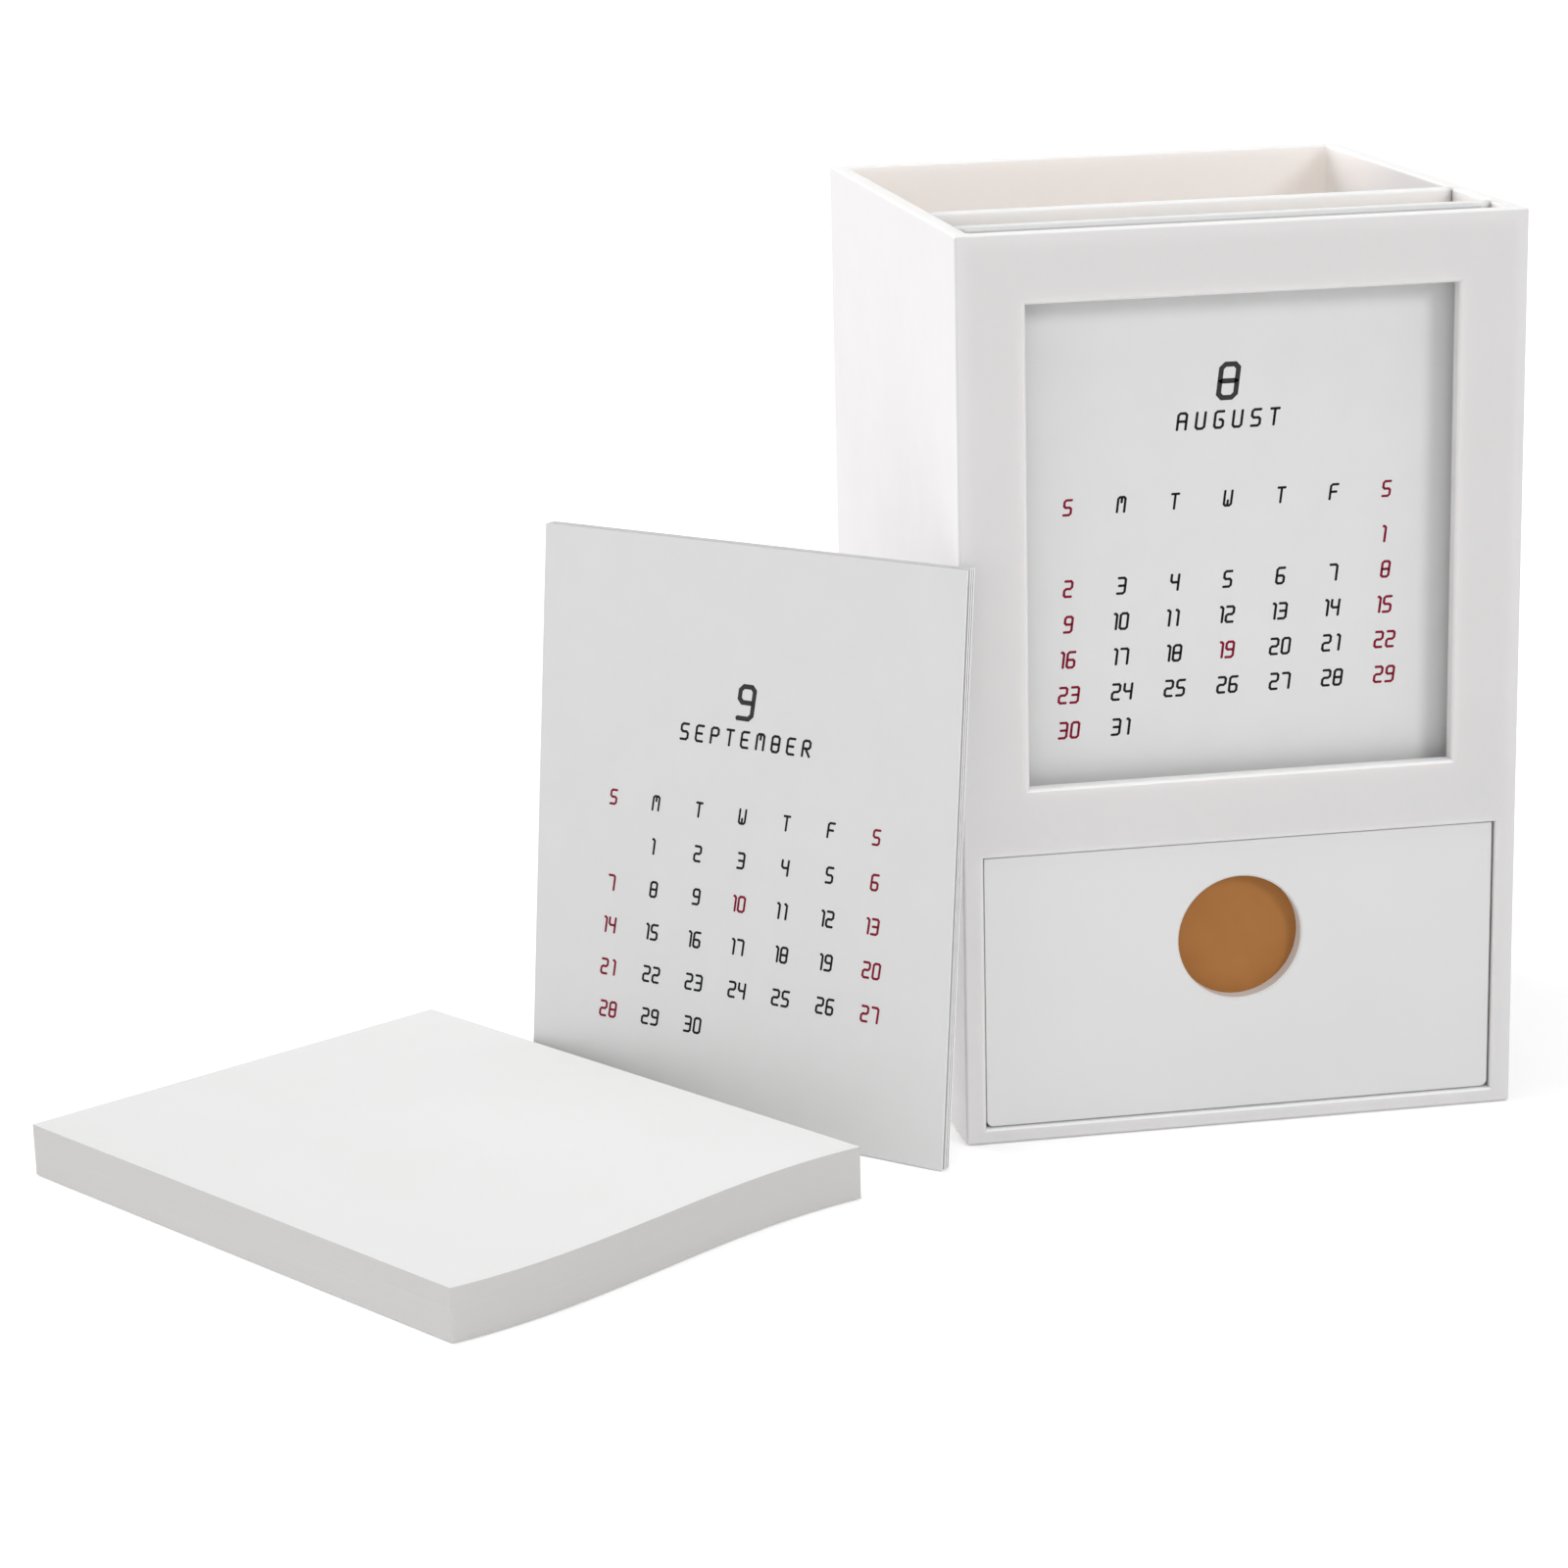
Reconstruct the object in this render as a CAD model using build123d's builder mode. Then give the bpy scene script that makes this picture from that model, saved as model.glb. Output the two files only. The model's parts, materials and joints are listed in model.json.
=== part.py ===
"""Desk calendar with a drawer, its twelve calendar cards and its memo pad.

Millimetres. The origin is the middle of the housing's underside, +Z is up and the housing's
front, with the calendar window and the drawer, looks along -Y. The housing stands on Z = 0. A
stack of spare cards leans on its front left corner, and the memo pad lies in front of the stack.
"""
import os
from math import asin, cos, radians, sin, tan

from build123d import *

# Housing
housing_width = 100.0
housing_depth = 110.0
housing_height = 160.0
wall = 3.0                      # left, right and rear walls
base_thickness = 2.6
corner_round = 0.8              # upright corners at the rear
rim_round = 0.5                 # all other outer edges and the rim

# Front frame: the panel with the window and the drawer bay's opening
frame_thickness = 3.0
window_side_margin = 12.0
window_top_margin = 12.0
window_rail = 11.7              # between the window and the drawer bay
window_chamfer = 0.4
bay_side_margin = 3.6
bay_chamfer = 0.3

# Drawer bay, and the floor of the compartments over it
bay_height = 49.7
floor_thickness = 2.7

# Plates that part the top into card pocket, slot and pen compartment, from front to back
plate_thickness = 2.4
pocket_width = 8.0
slot_width = 18.0

# Drawer
drawer_recess = 1.0             # its front lies this far behind the frame's
drawer_side_gap = 0.3
drawer_top_gap = 0.3
drawer_bottom_gap = 0.2
drawer_rear_gap = 1.0
tray_wall = 2.0                 # sides, back and floor
tray_front = 3.0
tray_corner_round = 1.2         # lower long edges, which the front shows as its lower corners
tray_edge_round = 0.2           # front face and rim
tray_upright_round = 0.7        # inside corners
tray_floor_round = 0.5          # inside, where the walls meet the floor

# Round finger hole in the drawer's front, closed by a disc on the inside
hole_diameter = 22.3
hole_drop = 17.7                # from the drawer's top edge to the hole's centre
hole_chamfer = 0.3
disc_border = 2.5               # glued ring round the hole
disc_thickness = 1.2

# Calendar cards
card_thickness = 0.3
card_play = 4.0                 # the pocket is wider than its cards by this much
card_shift = 1.4                # the cards stand this far left of the pocket's middle
card_gap = 0.3                  # between the loose cards, in the pocket and in the stack
card_foot_gap = 0.1
card_top_drop = 0.1             # below the housing's rim

# Stack of spare cards that leans on the housing's front left corner
stack_turn = 45.0               # degrees, from the housing's front round to the left
stack_reach = 13.5              # foot of the stack to the corner, square to the cards
stack_overhang = 3.3            # the cards' right edges pass the corner by this much
stack_front_gap = 0.3           # the front card stands off the others by this much more
stack_corner_gap = 0.1          # to the corner, measured without the corner's round

# Memo pad
pad_width = 90.0
pad_length = 115.8
pad_thickness = 9.3
pad_turn = 33.2                 # degrees, from the housing's width to the pad's
pad_gap = 0.5                   # to the stack's lower left corner
pad_lead = 87.4                 # the pad's right corner lies this far ahead of that corner
pad_bulge = 1.3                 # slight wave in the pad's front side: out by this much
pad_hollow = 1.6                # and in by this much

# Worked out from the sizes above
front_y = -housing_depth / 2
inner_front_y = front_y + frame_thickness
inner_rear_y = housing_depth / 2 - wall
inner_width = housing_width - 2 * wall
inner_depth = inner_rear_y - inner_front_y
floor_z = base_thickness + bay_height
floor_top_z = floor_z + floor_thickness
window_z = floor_z + window_rail
window_width = housing_width - 2 * window_side_margin
window_height = housing_height - window_top_margin - window_z
pocket_plate_y = inner_front_y + pocket_width
partition_y = pocket_plate_y + plate_thickness + slot_width

bay_width = housing_width - 2 * bay_side_margin
drawer_width = bay_width - 2 * drawer_side_gap
drawer_height = bay_height - drawer_bottom_gap - drawer_top_gap
drawer_front_y = front_y + drawer_recess
drawer_length = inner_rear_y - drawer_rear_gap - drawer_front_y
drawer_z = base_thickness + drawer_bottom_gap
tray_inner_front_y = drawer_front_y + tray_front
hole_z = drawer_z + drawer_height - hole_drop

card_width = inner_width - card_play
card_pitch = card_thickness + card_gap
card_z = floor_top_z + card_foot_gap
card_height = housing_height - card_top_drop - card_z

pocket_months = ["january", "february", "march", "april", "may", "june", "july", "august"]
stack_months = ["september", "october", "november", "december"]

os.makedirs("parts", exist_ok=True)

# Housing shell: base, side walls and rear wall in one, open to the front
with BuildPart() as housing_shell:
    with BuildSketch():
        with Locations((0, inner_front_y)):
            Rectangle(housing_width, housing_depth - frame_thickness,
                      align=(Align.CENTER, Align.MIN))
        fillet(vertices().group_by(Axis.Y)[-1], corner_round)
    extrude(amount=housing_height)
    with BuildSketch(Plane.XY.offset(base_thickness)):
        with Locations((0, inner_front_y)):
            Rectangle(inner_width, inner_depth, align=(Align.CENTER, Align.MIN))
    extrude(amount=housing_height - base_thickness, mode=Mode.SUBTRACT)
    # The edges that meet the front frame come first and stay sharp
    fillet(faces().sort_by(Axis.Z)[-1].edges().sort_by(Axis.Y)[2:], rim_round)
    fillet(faces().sort_by(Axis.Z)[0].edges().sort_by(Axis.Y)[1:], rim_round)
housing_shell.part.label = "housing_shell"
export_step(housing_shell.part, "parts/housing_shell.step")

# Front frame
with BuildPart() as front_frame:
    with BuildSketch(Plane.XZ.offset(-inner_front_y)):
        Rectangle(housing_width, housing_height, align=(Align.CENTER, Align.MIN))
    extrude(amount=frame_thickness)
    edge_groups = edges().group_by(Axis.Y)
    fillet(edge_groups[0] + edge_groups[1], rim_round)
    with BuildSketch(Plane.XZ.offset(-front_y)):
        with Locations((0, window_z)):
            Rectangle(window_width, window_height, align=(Align.CENTER, Align.MIN))
    extrude(amount=-frame_thickness, mode=Mode.SUBTRACT)
    chamfer(edges(Select.LAST).group_by(Axis.Y)[0], window_chamfer)
    with BuildSketch(Plane.XZ.offset(-front_y)):
        with Locations((0, base_thickness)):
            Rectangle(bay_width, bay_height, align=(Align.CENTER, Align.MIN))
    extrude(amount=-frame_thickness, mode=Mode.SUBTRACT)
    chamfer(edges(Select.LAST).group_by(Axis.Y)[0], bay_chamfer)
    # Round on the pocket's side of the rim, between the side walls
    with BuildSketch(Plane.YZ):
        with Locations((inner_front_y, housing_height)):
            Rectangle(rim_round, rim_round, align=(Align.MAX, Align.MAX))
        with Locations((inner_front_y - rim_round, housing_height - rim_round)):
            Circle(rim_round, mode=Mode.SUBTRACT)
    extrude(amount=inner_width / 2, both=True, mode=Mode.SUBTRACT)
front_frame.part.label = "front_frame"
export_step(front_frame.part, "parts/front_frame.step")

# Floor of the compartments, over the drawer bay
with BuildPart() as compartment_floor:
    with BuildSketch(Plane.XY.offset(floor_z)):
        with Locations((0, inner_front_y)):
            Rectangle(inner_width, inner_depth, align=(Align.CENTER, Align.MIN))
    extrude(amount=floor_thickness)
compartment_floor.part.label = "compartment_floor"
export_step(compartment_floor.part, "parts/compartment_floor.step")

# Plate behind the card pocket, and partition in front of the pen compartment
for plate_name, plate_y in (("pocket_plate", pocket_plate_y), ("partition", partition_y)):
    with BuildPart() as plate:
        with BuildSketch(Plane.XY.offset(floor_top_z)):
            with Locations((0, plate_y)):
                Rectangle(inner_width, plate_thickness, align=(Align.CENTER, Align.MIN))
        extrude(amount=housing_height - floor_top_z)
        fillet(faces().sort_by(Axis.Z)[-1].edges().filter_by(Axis.X), rim_round)
    plate.part.label = plate_name
    export_step(plate.part, f"parts/{plate_name}.step")

# Drawer: one tray with its front
with BuildPart() as drawer_tray:
    with BuildSketch(Plane.XZ.offset(-drawer_front_y)):
        with Locations((0, drawer_z)):
            Rectangle(drawer_width, drawer_height, align=(Align.CENTER, Align.MIN))
        fillet(vertices().group_by(Axis.Y)[0], tray_corner_round)
    extrude(amount=-drawer_length)
    with BuildSketch(Plane.XY.offset(drawer_z + tray_wall)):
        with Locations((0, tray_inner_front_y)):
            Rectangle(drawer_width - 2 * tray_wall, drawer_length - tray_front - tray_wall,
                      align=(Align.CENTER, Align.MIN))
        fillet(vertices(), tray_upright_round)
    extrude(amount=drawer_height - tray_wall, mode=Mode.SUBTRACT)
    fillet(edges(Select.LAST).group_by(Axis.Z)[0], tray_floor_round)
    fillet(faces().sort_by(Axis.Z)[-1].edges() + faces().sort_by(Axis.Y)[0].edges(),
           tray_edge_round)
    with BuildSketch(Plane.XZ.offset(-drawer_front_y)):
        with Locations((0, hole_z)):
            Circle(hole_diameter / 2)
    extrude(amount=-tray_front, mode=Mode.SUBTRACT)
    chamfer(edges(Select.LAST).filter_by(GeomType.CIRCLE).sort_by(Axis.Y)[0], hole_chamfer)
drawer_tray.part.label = "drawer_tray"
export_step(drawer_tray.part, "parts/drawer_tray.step")

# Disc behind the finger hole, glued to the inside of the drawer's front
with BuildPart() as pull_disc:
    with BuildSketch(Plane.XZ.offset(-tray_inner_front_y)):
        with Locations((0, hole_z)):
            Circle(hole_diameter / 2 + disc_border)
    extrude(amount=-disc_thickness)
pull_disc.part.label = "pull_disc"
export_step(pull_disc.part, "parts/pull_disc.step")

# Cards in the pocket: each new month goes in front, so January is the rearmost
for place, month in enumerate(pocket_months):
    card_y = pocket_plate_y - (place + 1) * card_pitch
    with BuildPart() as card:
        with BuildSketch(Plane.XZ.offset(-card_y)):
            with Locations((-card_shift, card_z)):
                Rectangle(card_width, card_height, align=(Align.CENTER, Align.MIN))
        extrude(amount=-card_thickness)
    card.part.label = f"card_{month}"
    export_step(card.part, f"parts/card_{month}.step")

# Spare cards: they stand on the table and lean back until the last one's top edge is at the corner
stack_thickness = len(stack_months) * card_pitch - card_gap + stack_front_gap
stack_lean = asin((stack_reach - stack_corner_gap - stack_thickness) / card_height)
stack_right = Vector(cos(radians(stack_turn)), -sin(radians(stack_turn)), 0)
stack_back = Vector(sin(radians(stack_turn)), cos(radians(stack_turn)), 0)
housing_corner = Vector(-housing_width / 2, front_y, 0)
stack_foot = housing_corner - stack_back * stack_reach + stack_right * stack_overhang
stack_plane = Plane(origin=stack_foot, x_dir=stack_right,
                    z_dir=Vector(0, 0, sin(stack_lean)) - stack_back * cos(stack_lean))
for place, month in enumerate(stack_months):
    card_depth = place * card_pitch + (stack_front_gap if place > 0 else 0)
    with BuildPart() as card:
        with BuildSketch(stack_plane.offset(-card_depth)):
            with Locations((0, (card_depth + card_thickness) * tan(stack_lean))):
                Rectangle(card_width, card_height, align=(Align.MAX, Align.MIN))
        extrude(amount=-card_thickness)
    card.part.label = f"card_{month}"
    export_step(card.part, f"parts/card_{month}.step")

# Memo pad: a block of loose sheets, beside the lower left corner of the stack
pad_right = Vector(cos(radians(pad_turn)), sin(radians(pad_turn)), 0)
pad_back = Vector(-sin(radians(pad_turn)), cos(radians(pad_turn)), 0)
stack_left_corner = stack_foot - stack_right * card_width
pad_right_corner = stack_left_corner - pad_right * pad_gap - pad_back * pad_lead
with BuildPart() as memo_pad:
    with BuildSketch(Plane(origin=pad_right_corner, x_dir=pad_right, z_dir=(0, 0, 1))):
        with BuildLine():
            Spline((0, 0), (-pad_width / 5, pad_hollow), (-pad_width * 2 / 3, -pad_bulge),
                   (-pad_width, 0))
            Polyline((-pad_width, 0), (-pad_width, pad_length), (0, pad_length), (0, 0))
        make_face()
    extrude(amount=pad_thickness)
memo_pad.part.label = "memo_pad"
export_step(memo_pad.part, "parts/memo_pad.step")
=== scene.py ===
"""Looks of the desk calendar: materials, print on the cards, light and the photograph's camera."""
import json
import math

import bpy
from mathutils import Matrix, Vector

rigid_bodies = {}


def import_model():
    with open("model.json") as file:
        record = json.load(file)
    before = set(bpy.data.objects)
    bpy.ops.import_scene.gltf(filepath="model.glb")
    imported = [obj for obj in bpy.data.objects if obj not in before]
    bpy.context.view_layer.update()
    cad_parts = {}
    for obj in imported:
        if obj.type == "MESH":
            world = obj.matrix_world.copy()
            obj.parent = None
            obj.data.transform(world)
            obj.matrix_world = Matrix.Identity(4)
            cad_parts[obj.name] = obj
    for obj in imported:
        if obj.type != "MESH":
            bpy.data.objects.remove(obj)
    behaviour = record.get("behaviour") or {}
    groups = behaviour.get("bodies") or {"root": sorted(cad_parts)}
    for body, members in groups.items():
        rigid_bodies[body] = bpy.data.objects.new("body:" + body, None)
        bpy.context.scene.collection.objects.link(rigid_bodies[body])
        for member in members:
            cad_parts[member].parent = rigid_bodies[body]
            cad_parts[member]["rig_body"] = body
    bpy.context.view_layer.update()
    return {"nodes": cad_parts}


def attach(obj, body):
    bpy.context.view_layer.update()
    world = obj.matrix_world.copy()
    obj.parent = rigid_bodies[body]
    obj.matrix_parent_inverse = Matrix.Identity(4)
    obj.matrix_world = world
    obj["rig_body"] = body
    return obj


MM = 0.001
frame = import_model()
nodes = frame["nodes"]
scene = bpy.context.scene
scene.view_settings.view_transform = "Standard"

# ---------------------------------------------------------------- node helpers
# Sockets of a Mix node that mixes colours
MIX_FACTOR, MIX_FIRST, MIX_SECOND, MIX_RESULT = 0, 6, 7, 2
UPWARD = (0, 0, 1)


def new_material(name):
    material = bpy.data.materials.new(name)
    material.use_nodes = True
    tree = material.node_tree
    tree.nodes.clear()
    output = tree.nodes.new("ShaderNodeOutputMaterial")
    shader = tree.nodes.new("ShaderNodeBsdfPrincipled")
    tree.links.new(shader.outputs["BSDF"], output.inputs["Surface"])
    return material, tree, shader


def add(tree, kind, inputs=None, **settings):
    """Adds a node. Each input is a socket to link or a value to set."""
    node = tree.nodes.new(kind)
    for key, value in settings.items():
        setattr(node, key, value)
    for key, value in (inputs or {}).items():
        if isinstance(value, bpy.types.NodeSocket):
            tree.links.new(value, node.inputs[key])
        else:
            node.inputs[key].default_value = value
    return node


def calculate(tree, operation, *values):
    """Result of a Math node. Each value is a socket or a number."""
    node = add(tree, "ShaderNodeMath", dict(enumerate(values)), operation=operation)
    return node.outputs[0]


def multiply(tree, *factors):
    product = factors[0]
    for factor in factors[1:]:
        product = calculate(tree, "MULTIPLY", product, factor)
    return product


def place(tree, stretch=(1, 1, 1)):
    """Object coordinates, stretched along each axis."""
    coordinates = add(tree, "ShaderNodeTexCoord")
    mapping = add(tree, "ShaderNodeMapping",
                  {"Vector": coordinates.outputs["Object"], "Scale": stretch})
    return mapping.outputs["Vector"]


def facing(tree, direction):
    """How far the surface faces that way in the part's frame: 1 straight, 0 square to it."""
    coordinates = add(tree, "ShaderNodeTexCoord")
    node = add(tree, "ShaderNodeVectorMath", {0: coordinates.outputs["Normal"], 1: direction},
               operation="DOT_PRODUCT")
    return node.outputs["Value"]


def noise(tree, scale, detail, roughness=0.55, stretch=(1, 1, 1)):
    node = add(tree, "ShaderNodeTexNoise",
               {"Vector": place(tree, stretch), "Scale": scale, "Detail": detail,
                "Roughness": roughness})
    return node.outputs["Fac"]


def spread(tree, value, low=0.0, high=1.0):
    """Maps the middle of a noise to low..high."""
    node = add(tree, "ShaderNodeMapRange",
               {"Value": value, "From Min": 0.3, "From Max": 0.7, "To Min": low, "To Max": high})
    return node.outputs["Result"]


def ramp(tree, value, start, end, unit=1.0):
    """Rises smoothly from 0 at start to 1 at end, both in the given unit."""
    node = add(tree, "ShaderNodeMapRange",
               {"Value": value, "From Min": start * unit, "From Max": end * unit},
               interpolation_type="SMOOTHSTEP")
    return node.outputs["Result"]


def tint(tree, factor, first, second):
    """Mixes two colours, each of them a socket or three numbers."""
    node = add(tree, "ShaderNodeMix", data_type="RGBA")
    tree.links.new(factor, node.inputs[MIX_FACTOR])
    for colour, key in ((first, MIX_FIRST), (second, MIX_SECOND)):
        if isinstance(colour, bpy.types.NodeSocket):
            tree.links.new(colour, node.inputs[key])
        else:
            node.inputs[key].default_value = (*colour, 1)
    return node.outputs[MIX_RESULT]


def bump(tree, shader, height, distance, strength):
    """Relief from a height of 0 to 1, which stands for the distance in millimetres."""
    node = add(tree, "ShaderNodeBump",
               {"Height": height, "Distance": distance * MM, "Strength": strength})
    tree.links.new(node.outputs["Normal"], shader.inputs["Normal"])


def seen_directly(tree):
    """1 for camera, mirror and see-through rays, 0 for the rays that light the object."""
    path = add(tree, "ShaderNodeLightPath").outputs
    either = calculate(tree, "MAXIMUM", path["Is Camera Ray"], path["Is Glossy Ray"])
    return calculate(tree, "MAXIMUM", either, path["Is Transmission Ray"])


# ---------------------------------------------------------------- where the plastic is clear, and where it has painted light
# Lengths in millimetres, in the part's frame
HALF_WIDTH, HALF_DEPTH, HEIGHT = 50, 55, 160    # of the housing
WALL = 3
SHELF = 55                      # top of the compartments' floor
PARTITION = -24                 # about the front face of the partition, where the slot ends


def spot(tree):
    """Place in the part's frame: distance from the middle plane, y and z."""
    where = add(tree, "ShaderNodeSeparateXYZ", {"Vector": place(tree)}).outputs
    return calculate(tree, "ABSOLUTE", where["X"]), where["Y"], where["Z"]


def inside_compartments(tree):
    """1 on the rear wall's inside, less on the side walls' insides, 0 outside and below. It sets
    both the light through the plastic and the painted light of the insides.
    """
    aside, y, z = spot(tree)
    rear = ramp(tree, y, -5, HALF_DEPTH - WALL, MM)
    slot = multiply(tree, ramp(tree, y, PARTITION + 6, PARTITION, MM), 0.85)
    return multiply(tree, calculate(tree, "MAXIMUM", rear, slot),
                    ramp(tree, aside, HALF_WIDTH - 0.5, HALF_WIDTH - WALL + 0.5, MM),
                    ramp(tree, y, HALF_DEPTH - 0.5, HALF_DEPTH - WALL + 0.5, MM),
                    ramp(tree, z, SHELF - 1, SHELF + 1, MM))


def off_the_outline(tree):
    """1 on the front frame, 0 at its outer edges, where it meets the shell."""
    aside, _, z = spot(tree)
    return multiply(tree, ramp(tree, aside, HALF_WIDTH - 0.6, HALF_WIDTH - WALL, MM),
                    ramp(tree, z, HEIGHT - 0.6, HEIGHT - WALL, MM), ramp(tree, z, 0.6, 2, MM))


# ---------------------------------------------------------------- materials


def plastic(name, base, second, clear=0.0, reach=7.0, painted_glow=None, top=None):
    """White moulded plastic: fine matte grain, faint flow marks.

    Light goes through it as far as reach, in millimetres, where clear is 1. That is a number for
    the whole surface or a function of the tree. Where the function gives 1, the plastic has the
    colour glow, painted light for the light that comes through the walls, and where the surface
    faces up, the colour top, a painted highlight of light from above, if these are given.
    """
    material, tree, shader = new_material(name)
    colour = tint(tree, spread(tree, noise(tree, scale=35, detail=3)), base, second)
    shader.inputs["Subsurface Radius"].default_value = (1.0, 0.85, 0.75)
    shader.inputs["Subsurface Scale"].default_value = reach * MM
    if callable(clear):
        share = clear(tree)
        tree.links.new(share, shader.inputs["Subsurface Weight"])
    else:
        shader.inputs["Subsurface Weight"].default_value = clear
    # Painted light: where the mask gives 1, the compartments' insides get a lighter, warmer colour
    # for the light that comes through the walls
    if painted_glow:
        colour = tint(tree, share, colour, painted_glow)
    # Painted highlight: faces and rounded edges that look up get a lighter colour, for light from
    # above
    if top:
        colour = tint(tree, ramp(tree, facing(tree, UPWARD), 0.3, 0.8), colour, top)
    tree.links.new(colour, shader.inputs["Base Color"])
    tree.links.new(spread(tree, noise(tree, scale=90, detail=5), 0.38, 0.5),
                   shader.inputs["Roughness"])
    shader.inputs["Specular IOR Level"].default_value = 0.4
    grain = multiply(tree, noise(tree, scale=2600, detail=2), 0.35)
    waves = noise(tree, scale=60, detail=2)
    bump(tree, shader, calculate(tree, "ADD", grain, waves), distance=0.03, strength=0.5)
    return material


def paper(name, base, second, rough, grain=0.02, front=None, edge=None):
    """Smooth white card or paper with a faint fibre. A card whose front is given has the colour
    edge on its edges, a painted highlight.
    """
    material, tree, shader = new_material(name)
    colour = tint(tree, spread(tree, noise(tree, scale=120, detail=4)), base, second)
    # Painted highlight: faces that don't look to the front, the card's edges, get the lighter
    # colour edge
    if edge:
        straight = calculate(tree, "ABSOLUTE", facing(tree, front))
        colour = tint(tree, ramp(tree, straight, 0.6, 0.4), colour, edge)
    tree.links.new(colour, shader.inputs["Base Color"])
    tree.links.new(spread(tree, noise(tree, scale=300, detail=3), rough - 0.06, rough + 0.06),
                   shader.inputs["Roughness"])
    shader.inputs["Specular IOR Level"].default_value = 0.3
    bump(tree, shader, noise(tree, scale=1800, detail=3), distance=grain, strength=0.4)
    return material


def paper_block(name, base, second, side):
    """A block of sheets: smooth top, and greyer sides, which are painted shade, with the sheets'
    edges as fine lines.
    """
    material, tree, shader = new_material(name)
    upright = calculate(tree, "ABSOLUTE", facing(tree, UPWARD))
    is_side = calculate(tree, "LESS_THAN", upright, 0.5)
    sheets = noise(tree, scale=9000, detail=2, roughness=0.6, stretch=(0.004, 0.004, 1))
    faces = tint(tree, spread(tree, noise(tree, scale=40, detail=4)), base, second)
    edges = tint(tree, spread(tree, sheets), side, tuple(0.96 * c for c in side))
    tree.links.new(tint(tree, is_side, faces, edges), shader.inputs["Base Color"])
    tree.links.new(spread(tree, noise(tree, scale=300, detail=3), 0.74, 0.86),
                   shader.inputs["Roughness"])
    shader.inputs["Specular IOR Level"].default_value = 0.25
    lines = multiply(tree, sheets, is_side)
    grain = multiply(tree, noise(tree, scale=1800, detail=3), 0.3)
    bump(tree, shader, calculate(tree, "ADD", lines, grain), distance=0.04, strength=0.4)
    return material


def ink(name, base, second):
    material, tree, shader = new_material(name)
    tree.links.new(tint(tree, spread(tree, noise(tree, scale=900, detail=3)), base, second),
                   shader.inputs["Base Color"])
    tree.links.new(spread(tree, noise(tree, scale=1500, detail=2), 0.55, 0.7),
                   shader.inputs["Roughness"])
    shader.inputs["Specular IOR Level"].default_value = 0.15
    return material


def card_face(name):
    """Middle of the card's top front edge, and its right, up and outward directions."""
    mesh = nodes[name].data
    face = max(mesh.polygons, key=lambda p: (p.area, -p.normal.y))
    out = face.normal.copy()
    if out.y > 0:
        out.negate()
    up = (Vector(UPWARD) - out * out.z).normalized()
    right = up.cross(out)
    corners = [v.co for v in mesh.vertices]
    xs = [c.dot(right) for c in corners]
    ys = [c.dot(up) for c in corners]
    depth = max(c.dot(out) for c in corners)
    origin = right * (min(xs) + max(xs)) / 2 + up * max(ys) + out * depth
    return origin, right, up, out


# Fitted to the photograph under the lamps below. Of a pair, the second shows in faint patches.
WHITE, WARM_WHITE = (0.715, 0.697, 0.701), (0.703, 0.685, 0.685)
FRAME_WHITE, FRAME_WARM = (0.717, 0.706, 0.71), (0.705, 0.694, 0.697)
# Painted light: the partition and the pocket plate are painted lighter and warmer than the
# housing's white, for the light on and through them
LIT_PLATE_WHITE, LIT_PLATE_WARM = (0.86, 0.835, 0.822), (0.85, 0.825, 0.807)
# Painted light on the compartments' insides, lighter and warmer than the housing's white
PAINTED_INSIDE_LIGHT = (0.9, 0.846, 0.82)
# Painted highlight of the faces and rounded edges that look up
PAINTED_TOP_LIGHT = (0.9, 0.893, 0.883)
# The cards' third colour is a painted highlight on their edges
CARD, CARD_SHADE, PAINTED_CARD_EDGE_LIGHT = (0.72, 0.72, 0.719), (0.705, 0.705, 0.704), (0.88, 0.88, 0.878)

housing_look = plastic("housing_plastic", WHITE, WARM_WHITE)
frame_look = plastic("frame_plastic", FRAME_WHITE, FRAME_WARM, off_the_outline, reach=3.0, top=PAINTED_TOP_LIGHT)
shell_look = plastic("shell_plastic", WHITE, WARM_WHITE, inside_compartments, painted_glow=PAINTED_INSIDE_LIGHT, top=PAINTED_TOP_LIGHT)
plate_look = plastic("plate_plastic", LIT_PLATE_WHITE, LIT_PLATE_WARM, clear=1.0, top=PAINTED_TOP_LIGHT)
drawer_look = plastic("drawer_plastic", (0.72, 0.72, 0.72), (0.71, 0.708, 0.708))
card_look = paper("card_stock", CARD, CARD_SHADE, rough=0.6,
                  front=card_face("card_august")[3], edge=PAINTED_CARD_EDGE_LIGHT)
spare_look = paper("spare_card_stock", CARD, CARD_SHADE, rough=0.6,
                   front=card_face("card_september")[3], edge=PAINTED_CARD_EDGE_LIGHT)
# The memo block's sides are painted shade: the colour side is darker than the top
memo_look = paper_block("memo_paper", (0.785, 0.785, 0.785), (0.77, 0.77, 0.765),
                        side=(0.6, 0.592, 0.582))
disc_look = paper("pull_disc", (0.385, 0.16, 0.04), (0.36, 0.145, 0.035), rough=0.7, grain=0.03)
black_look = ink("ink_black", (0.007, 0.007, 0.008), (0.012, 0.012, 0.013))
grey_look = ink("ink_grey", (0.028, 0.028, 0.03), (0.038, 0.038, 0.04))
red_look = ink("ink_red", (0.20, 0.004, 0.024), (0.24, 0.006, 0.032))

# Nodes that aren't named here are the cards in the pocket
looks = {"housing_shell": shell_look, "front_frame": frame_look,
         "compartment_floor": housing_look, "pocket_plate": plate_look,
         "partition": plate_look, "drawer_tray": drawer_look, "pull_disc": disc_look,
         "memo_pad": memo_look, "card_september": spare_look, "card_october": spare_look,
         "card_november": spare_look, "card_december": spare_look}
for name, node in nodes.items():
    node.data.materials.clear()
    node.data.materials.append(looks.get(name, card_look))

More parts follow.
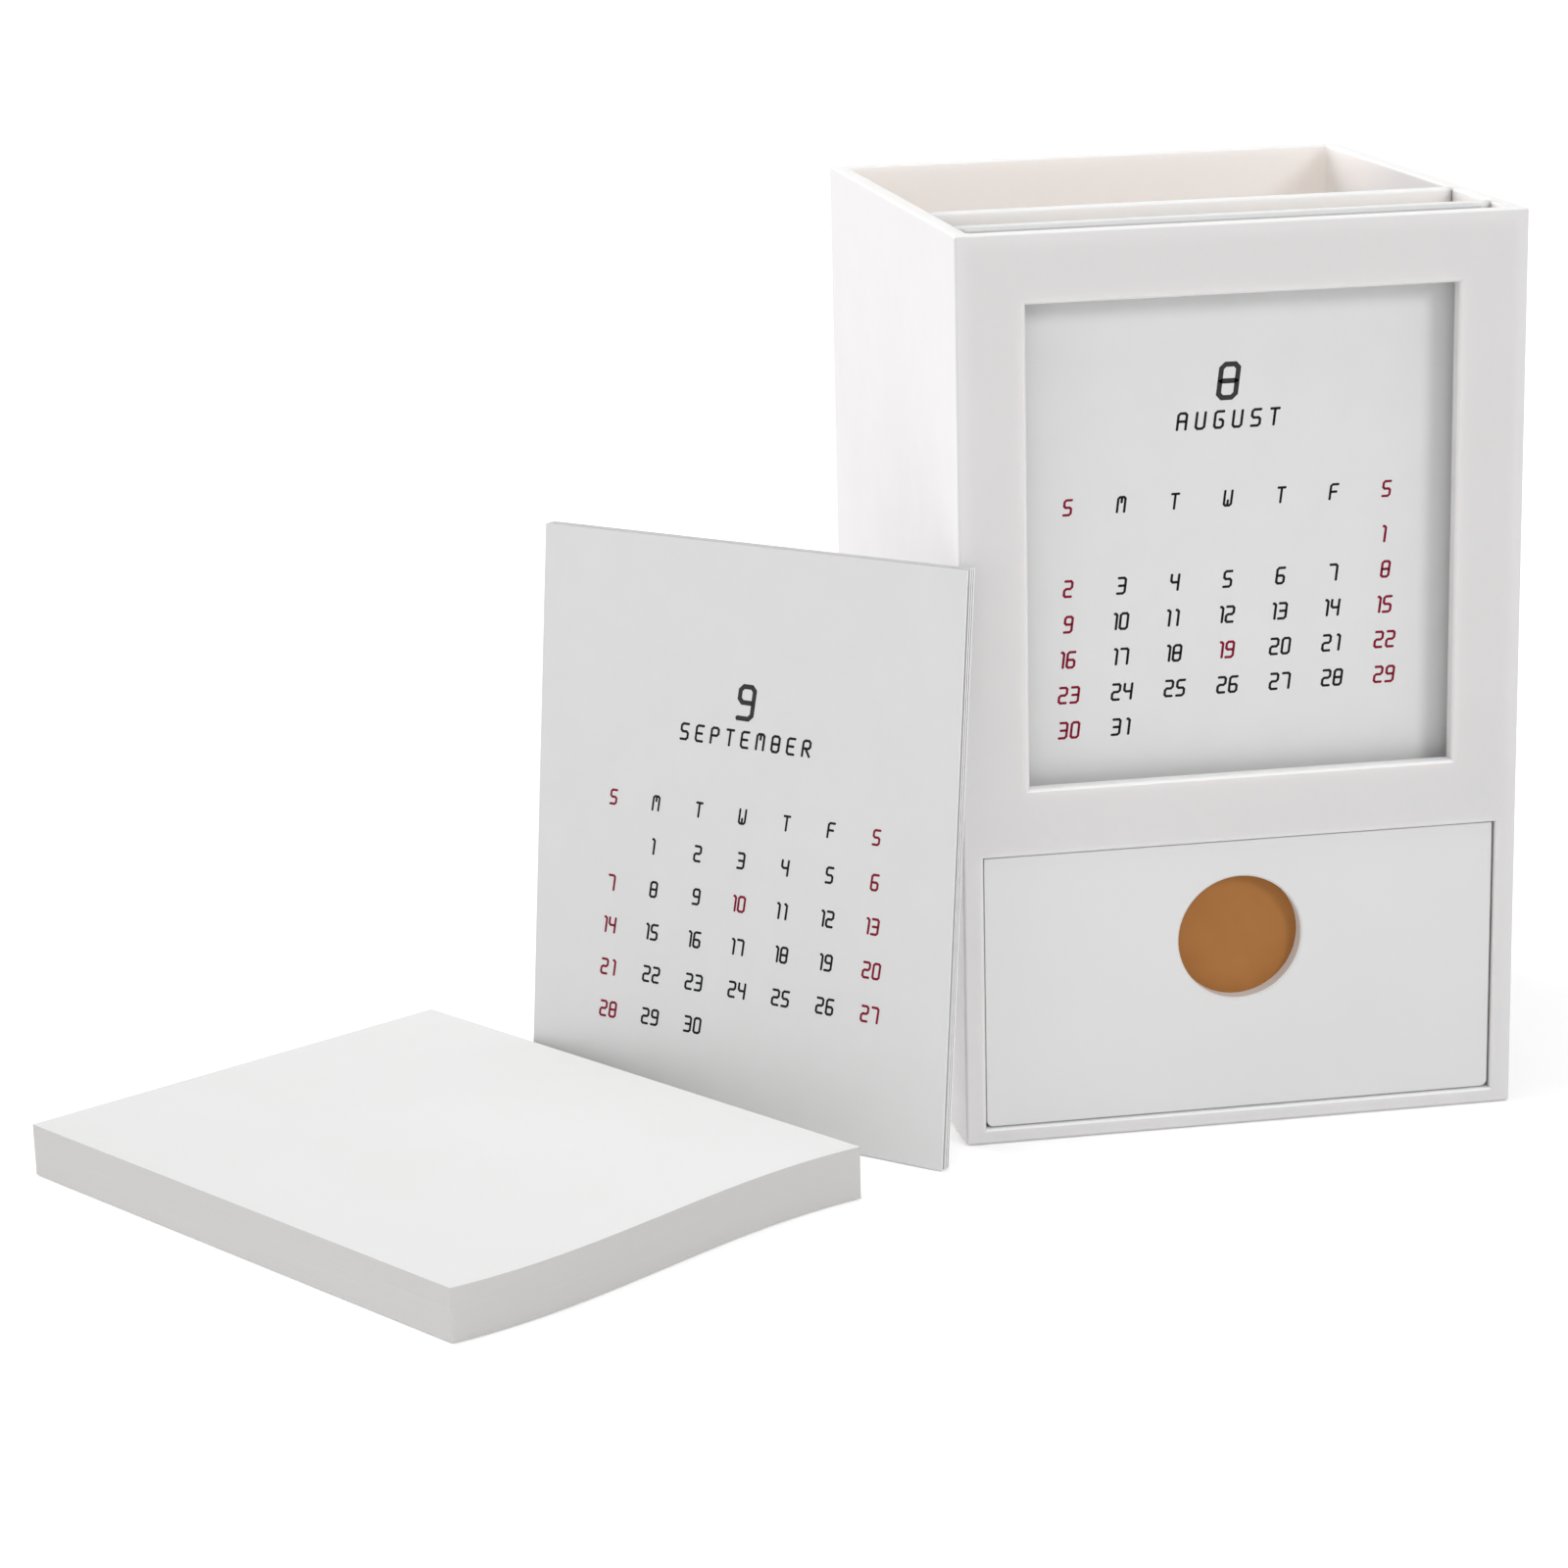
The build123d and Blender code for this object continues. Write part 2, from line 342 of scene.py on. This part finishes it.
# ---------------------------------------------------------------- figures of the print
# Segment figures on a grid 1 wide and 2 high. Each is a list of strokes, and a stroke is a chain of
# points. GAP keeps upright segments apart at half height: they end at UP and at DOWN.
GAP = 0.05
L, R, C = 0.0, 1.0, 0.5
UP, DOWN = 1 + GAP, 1 - GAP
FIGURES = {
    "0": [[(L, UP), (L, 2), (R, 2), (R, UP)], [(L, DOWN), (L, 0), (R, 0), (R, DOWN)]],
    "1": [[(0.3, 2), (0.66, 2), (0.66, UP)], [(0.66, DOWN), (0.66, 0)]],
    "2": [[(L, 2), (R, 2), (R, 1), (L, 1), (L, 0), (R, 0)]],
    "3": [[(L, 2), (R, 2), (R, UP)], [(0.15, 1), (0.85, 1)], [(R, DOWN), (R, 0), (L, 0)]],
    "4": [[(L, 2), (L, 1), (0.85, 1)], [(R, 2), (R, UP)], [(R, DOWN), (R, 0)]],
    "5": [[(R, 2), (L, 2), (L, 1), (R, 1), (R, 0), (L, 0)]],
    "6": [[(R, 2), (L, 2), (L, 0), (R, 0), (R, 1), (0.15, 1)]],
    "7": [[(L, 2), (R, 2), (R, UP)], [(R, DOWN), (R, 0)]],
    "8": [[(L, UP), (L, 2), (R, 2), (R, UP)], [(0.12, 1), (0.88, 1)],
          [(L, DOWN), (L, 0), (R, 0), (R, DOWN)]],
    "9": [[(0.85, 1), (L, 1), (L, 2), (R, 2), (R, 0), (L, 0)]],
    "A": [[(L, 0), (L, 2), (R, 2), (R, UP)], [(0.15, 1), (0.85, 1)], [(R, DOWN), (R, 0)]],
    "B": [[(L, 1), (L, 2), (R, 2), (R, UP)], [(0.15, 1), (0.85, 1)],
          [(L, 1), (L, 0), (R, 0), (R, DOWN)]],
    "C": [[(R, 2), (L, 2), (L, UP)], [(L, DOWN), (L, 0), (R, 0)]],
    "D": [[(L, 0), (L, 2), (R, 2), (R, UP)], [(L, 0), (R, 0), (R, DOWN)]],
    "E": [[(R, 2), (L, 2), (L, UP)], [(0.15, 1), (0.85, 1)], [(L, DOWN), (L, 0), (R, 0)]],
    "F": [[(R, 2), (L, 2), (L, 0)], [(0.15, 1), (0.85, 1)]],
    "G": [[(R, 2), (L, 2), (L, UP)], [(L, DOWN), (L, 0), (R, 0), (R, 1), (0.55, 1)]],
    "H": [[(L, 2), (L, UP)], [(R, 2), (R, UP)], [(0.15, 1), (0.85, 1)], [(L, DOWN), (L, 0)],
          [(R, DOWN), (R, 0)]],
    "I": [[(C, 2), (C, UP)], [(C, DOWN), (C, 0)]],
    "J": [[(R, 2), (R, UP)], [(R, DOWN), (R, 0), (L, 0), (L, 0.6)]],
    "L": [[(L, 2), (L, UP)], [(L, DOWN), (L, 0), (R, 0)]],
    "M": [[(L, 0), (L, DOWN)], [(L, UP), (L, 2), (R, 2), (R, UP)], [(R, DOWN), (R, 0)],
          [(C, 1.9), (C, 1.3)]],
    "N": [[(L, 0), (L, 2)], [(0.14, 1.8), (0.86, 0.2)], [(R, 0), (R, 2)]],
    "O": [[(L, UP), (L, 2), (R, 2), (R, UP)], [(L, DOWN), (L, 0), (R, 0), (R, DOWN)]],
    "P": [[(L, 0), (L, 2), (R, 2), (R, 1), (0.15, 1)]],
    "R": [[(L, 0), (L, 2), (R, 2), (R, 1), (0.15, 1)], [(0.45, 0.88), (R, 0)]],
    "S": [[(R, 2), (L, 2), (L, 1), (R, 1), (R, 0), (L, 0)]],
    "T": [[(L, 2), (R, 2)], [(C, 1.9), (C, UP)], [(C, DOWN), (C, 0)]],
    "U": [[(L, 2), (L, UP)], [(R, 2), (R, UP)], [(L, DOWN), (L, 0), (R, 0), (R, DOWN)]],
    "V": [[(L, 2), (L, 0.6), (C, 0), (R, 0.6), (R, 2)]],
    "W": [[(L, 2), (L, UP)], [(R, 2), (R, UP)], [(L, DOWN), (L, 0), (R, 0), (R, DOWN)],
          [(C, 0.1), (C, 0.7)]],
    "Y": [[(L, 2), (L, 1), (R, 1), (R, 2)], [(C, 0.9), (C, 0)]],
}
SLANT = math.tan(math.radians(7))
CORNER_CUT = 0.22               # share of the figure's width that a corner is cut by
ONE_PITCH = 0.72                # share of the pitch that a 1 takes
ONE_SHIFT = 0.2                 # share of a figure's width that a leading 1 moves the text left by
# A stroke's blunt end, in half thicknesses along and across: from its shoulder it narrows to a tip
SHOULDER = 0.25
TIP, TIP_WIDTH = 0.8, 0.35
CORNER_LIMIT = 0.5              # keeps the outline of a sharp corner from reaching far out


def cut_corners(chain, width, height):
    """The chain in millimetres, with its square corners cut off."""
    points = [Vector((x * width, y * height / 2)) for x, y in chain]
    if len(points) < 3:
        return points
    cut = CORNER_CUT * width
    result = [points[0]]
    for before, here, after in zip(points, points[1:], points[2:]):
        result.append(here + (before - here).normalized() * cut)
        result.append(here + (after - here).normalized() * cut)
    result.append(points[-1])
    return result


def blunt_end(here, outward, across):
    """Shoulder and tip on one side of a stroke's end."""
    return [here + outward * SHOULDER + across, here + outward * TIP + across * TIP_WIDTH]


def stroke(points, thick):
    """Outline of a line of the given thickness with blunt ends: its left and right sides."""
    left, right = [], []
    half = thick / 2
    for i, here in enumerate(points):
        directions = []
        if i > 0:
            directions.append((here - points[i - 1]).normalized())
        if i < len(points) - 1:
            directions.append((points[i + 1] - here).normalized())
        along = sum(directions, Vector((0, 0))).normalized()
        side = Vector((-along.y, along.x))
        if len(directions) == 2:
            normal = Vector((-directions[0].y, directions[0].x))
            reach = half / max(CORNER_LIMIT, side.dot(normal))
            left.append(here + side * reach)
            right.append(here - side * reach)
        elif i == 0:
            left += reversed(blunt_end(here, -along * half, side * half))
            right += reversed(blunt_end(here, -along * half, -side * half))
        else:
            left += blunt_end(here, along * half, side * half)
            right += blunt_end(here, along * half, -side * half)
    return left, right


class Print:
    """Flat figures in one ink, gathered into one mesh."""

    def __init__(self):
        self.points = []
        self.faces = []

    def write(self, text, x, y, height, width, pitch, thick):
        """Writes text with its middle at x, y, in the card's millimetres."""
        advances = [pitch * (ONE_PITCH if sign == "1" else 1.0) for sign in text]
        pen = x - (sum(advances[:-1]) + width) / 2
        if text[0] == "1":
            pen -= ONE_SHIFT * width
        for sign, advance in zip(text, advances):
            for chain in FIGURES[sign]:
                left, right = stroke(cut_corners(chain, width - thick, height - thick), thick)
                first, count = len(self.points), len(left)
                for p in left + right:
                    px = pen + thick / 2 + p.x
                    py = y - height / 2 + thick / 2 + p.y
                    self.points.append((px + (py - y) * SLANT, py))
                for i in range(first, first + count - 1):
                    self.faces.append((i, i + 1, i + count + 1, i + count))
            pen += advance


# ---------------------------------------------------------------- the months
MONTH_NAMES = ["JANUARY", "FEBRUARY", "MARCH", "APRIL", "MAY", "JUNE", "JULY", "AUGUST",
               "SEPTEMBER", "OCTOBER", "NOVEMBER", "DECEMBER"]
MONTH_DAYS = [31, 28, 31, 30, 31, 30, 31, 31, 30, 31, 30, 31]
EXTRA_RED = {8: 19, 9: 10}      # by month, the date that is red although it is a weekday
# Weekday of each month's first day, 0 for Sunday. August begins on a Saturday and September on
# a Monday, as the photograph shows. The other months continue from them.
first_days = {8: 6, 9: 1}
for month in range(7, 0, -1):
    first_days[month] = (first_days[month + 1] - MONTH_DAYS[month - 1]) % 7
for month in range(10, 13):
    first_days[month] = (first_days[month - 1] + MONTH_DAYS[month - 2]) % 7

# The print's template, in millimetres from the middle of the card's top edge
PRINT_MIDDLE = 0.4
COLUMN_PITCH = 9.48
NUMBER_Y, NAME_Y, WEEKDAY_Y = -27.65, -34.25, -48.0
FIRST_ROW_Y, LAST_ROW_Y = -55.95, -87.25
# Height, width, pitch and thickness of the strokes
NUMBER_SIZE = (6.6, 3.9, 5.6, 0.88)
NAME_SIZE = (3.25, 1.95, 3.28, 0.46)
WEEKDAY_SIZE = (3.0, 1.7, 2.4, 0.43)
DATE_SIZE = (3.15, 1.75, 2.1, 0.45)
INK_LIFT = 0.02


def print_card(month, origin, right, up, out, body):
    """Prints a card. The origin is the middle of its top edge, on its front."""
    black, grey, red = Print(), Print(), Print()
    grey.write(str(month), PRINT_MIDDLE, NUMBER_Y, *NUMBER_SIZE)
    black.write(MONTH_NAMES[month - 1], PRINT_MIDDLE, NAME_Y, *NAME_SIZE)
    columns = [PRINT_MIDDLE + (column - 3) * COLUMN_PITCH for column in range(7)]
    for x, sign in zip(columns, "SMTWTFS"):
        sheet = red if sign == "S" else black
        sheet.write(sign, x, WEEKDAY_Y, *WEEKDAY_SIZE)
    days, first = MONTH_DAYS[month - 1], first_days[month]
    rows = (first + days + 6) // 7
    pitch = (FIRST_ROW_Y - LAST_ROW_Y) / (rows - 1)
    for day in range(1, days + 1):
        row, column = divmod(first + day - 1, 7)
        sheet = red if column in (0, 6) or EXTRA_RED.get(month) == day else black
        sheet.write(str(day), columns[column], FIRST_ROW_Y - row * pitch, *DATE_SIZE)
    for label, sheet, look in (("black", black, black_look), ("grey", grey, grey_look),
                               ("red", red, red_look)):
        mesh = bpy.data.meshes.new(f"print_{label}_{month}")
        points = [origin + right * x * MM + up * y * MM + out * INK_LIFT * MM
                  for x, y in sheet.points]
        mesh.from_pydata(points, [], sheet.faces)
        mesh.materials.append(look)
        mesh.update()
        if mesh.polygons[0].normal.dot(out) < 0:
            mesh.flip_normals()
        piece = bpy.data.objects.new(f"print_{label}_{month:02d}", mesh)
        scene.collection.objects.link(piece)
        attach(piece, body)


for number, month_name in enumerate(MONTH_NAMES, 1):
    card = "card_" + month_name.lower()
    print_card(number, *card_face(card), nodes[card]["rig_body"])

# ---------------------------------------------------------------- camera
# Fitted to the photograph: focal length and principal point in pixels of 1600, turn as a rotation
# vector, place in housing heights from the housing's lower front left corner
PHOTO = 1600
FOCAL = 4369.7
CENTRE = (770, 930)
TURN = Vector((0.2806, -0.1685, -0.0514))
PLACE = Vector((0.2344, 0.2588, 4.7264))
SENSOR = 36
CORNER = Vector((-HALF_WIDTH * MM, -HALF_DEPTH * MM, 0))

turn = Matrix.Rotation(TURN.length, 3, TURN.normalized())
to_camera = turn @ Matrix(((1, 0, 0), (0, 0, -1), (0, 1, 0)))
camera_data = bpy.data.cameras.new("photo_camera")
camera_data.sensor_width = SENSOR
camera_data.lens = SENSOR * FOCAL / PHOTO
camera_data.shift_x = (PHOTO / 2 - CENTRE[0]) / PHOTO
camera_data.shift_y = (CENTRE[1] - PHOTO / 2) / PHOTO
camera_data.clip_start = 0.01
camera_data.clip_end = 100
camera = bpy.data.objects.new("photo_camera", camera_data)
axes = Matrix((to_camera[0], -to_camera[1], -to_camera[2])).transposed()
eye = -(to_camera.transposed() @ PLACE) * (HEIGHT * MM) + CORNER
camera.matrix_world = Matrix.Translation(eye) @ axes.to_4x4()
scene.collection.objects.link(camera)
scene.camera = camera

# ---------------------------------------------------------------- table and light
TABLE_GLOW = 0.22               # makes the table, as it is seen, meet the white backdrop
WORLD_LIGHT, WORLD_SEEN = 0.31, 1.0     # the backdrop's strength as a lamp and as it is seen


def table_material():
    """White table, lit and shaded like paper."""
    material, tree, shader = new_material("table")
    shader.inputs["Base Color"].default_value = (0.95, 0.95, 0.95, 1)
    shader.inputs["Roughness"].default_value = 0.9
    shader.inputs["Specular IOR Level"].default_value = 0.0
    shader.inputs["Emission Color"].default_value = (1, 1, 1, 1)
    tree.links.new(multiply(tree, seen_directly(tree), TABLE_GLOW),
                   shader.inputs["Emission Strength"])
    return material


# Just under the part, so that no face of it lies in the table's
bpy.ops.mesh.primitive_plane_add(size=60, location=(0, 0, -0.2 * MM))
table = bpy.context.object
table.name = "table"
table.data.materials.append(table_material())

world = bpy.data.worlds.new("studio")
world.use_nodes = True
scene.world = world
world_tree = world.node_tree
background = next(n for n in world_tree.nodes if n.type == "BACKGROUND")
background.inputs["Color"].default_value = (1, 1, 1, 1)
strength = add(world_tree, "ShaderNodeMapRange",
               {"Value": seen_directly(world_tree), "To Min": WORLD_LIGHT, "To Max": WORLD_SEEN})
world_tree.links.new(strength.outputs["Result"], background.inputs["Strength"])


def sun(name, direction, power, angle):
    """A distant lamp that shines from the given direction and looks angle degrees wide."""
    data = bpy.data.lights.new(name, "SUN")
    data.energy = power
    data.angle = math.radians(angle)
    lamp = bpy.data.objects.new(name, data)
    lamp.rotation_mode = "QUATERNION"
    lamp.rotation_quaternion = Vector(direction).normalized().to_track_quat("Z", "Y")
    scene.collection.objects.link(lamp)


sun("rear_left", (-0.72, 0.66, 0.3), power=1.85, angle=30)
sun("left", (-0.92, -0.3, 0.25), power=0.4, angle=40)
sun("key", (0.45, -0.77, 0.44), power=0.87, angle=18)
sun("front", (-0.2, -0.95, 0.3), power=0.35, angle=60)
sun("above", UPWARD, power=1.12, angle=60)
